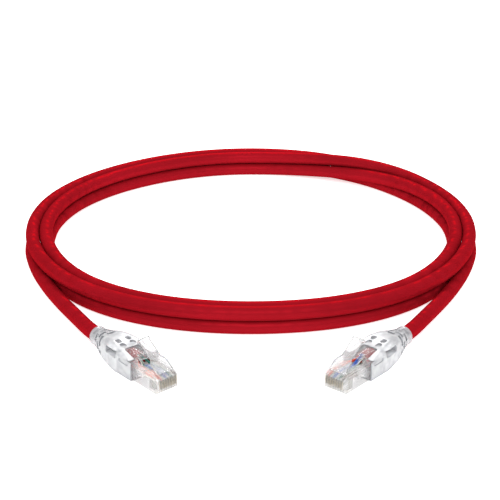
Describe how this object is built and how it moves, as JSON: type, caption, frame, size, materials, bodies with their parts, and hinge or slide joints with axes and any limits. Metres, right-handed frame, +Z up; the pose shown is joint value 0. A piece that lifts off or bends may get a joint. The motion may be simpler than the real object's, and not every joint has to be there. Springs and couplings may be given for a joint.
{
  "type": "ethernet patch cable",
  "caption": "Patch cable wound into a round coil, with a clear plug in a ribbed strain-relief boot on each end.",
  "frame": {"origin": "on the table, midway between the two plugs", "axes": "+X from the left plug to the right one, +Y from the plugs towards the coil, +Z up from the table"},
  "size_m": [0.1924, 0.2333, 0.0145],
  "materials": {
    "jacket_red": "satin soft vinyl",
    "plug_clear": "clear polycarbonate",
    "load_bar_clear": "clear polycarbonate",
    "boot_grey": "milky soft plastic",
    "contact_gold": "gold-plated",
    "wire_orange": "orange insulation",
    "wire_white_orange": "white insulation, orange stripe",
    "wire_green": "green insulation",
    "wire_white_green": "white insulation, green stripe",
    "wire_blue": "blue insulation",
    "wire_white_blue": "white insulation, blue stripe",
    "wire_brown": "brown insulation",
    "wire_white_brown": "white insulation, brown stripe"
  },
  "bodies": {
    "cable": {"cable_coil": "jacket_red", "left_lead": "jacket_red", "right_lead": "jacket_red", "pair_orange": "wire_orange", "pair_green": "wire_green", "pair_blue": "wire_blue", "pair_brown": "wire_brown", "left_plug_housing": "plug_clear", "left_contacts": "contact_gold", "left_load_bar": "load_bar_clear", "left_boot": "boot_grey", "left_wire_white_orange": "wire_white_orange", "left_wire_orange": "wire_orange", "left_wire_white_green": "wire_white_green", "left_wire_blue": "wire_blue", "left_wire_white_blue": "wire_white_blue", "left_wire_green": "wire_green", "left_wire_white_brown": "wire_white_brown", "left_wire_brown": "wire_brown", "right_plug_housing": "plug_clear", "right_contacts": "contact_gold", "right_load_bar": "load_bar_clear", "right_boot": "boot_grey", "right_wire_white_orange": "wire_white_orange", "right_wire_orange": "wire_orange", "right_wire_white_green": "wire_white_green", "right_wire_blue": "wire_blue", "right_wire_white_blue": "wire_white_blue", "right_wire_green": "wire_green", "right_wire_white_brown": "wire_white_brown", "right_wire_brown": "wire_brown"},
    "left_tab": {"left_latch": "plug_clear"},
    "right_tab": {"right_latch": "plug_clear"}
  },
  "joints": [
    {"name": "left_latch_press", "type": "hinge", "parent": "cable", "child": "left_tab", "pos_m": [-0.02902, -0.01385, 0.0065], "axis": [0.7638, 0.6455, 0], "range_deg": [-20, 0], "stiffness_Nm_per_rad": 0.2},
    {"name": "right_latch_press", "type": "hinge", "parent": "cable", "child": "right_tab", "pos_m": [0.02902, -0.01385, 0.0065], "axis": [0.7638, -0.6455, 0], "range_deg": [-20, 0], "stiffness_Nm_per_rad": 0.2}
  ]
}
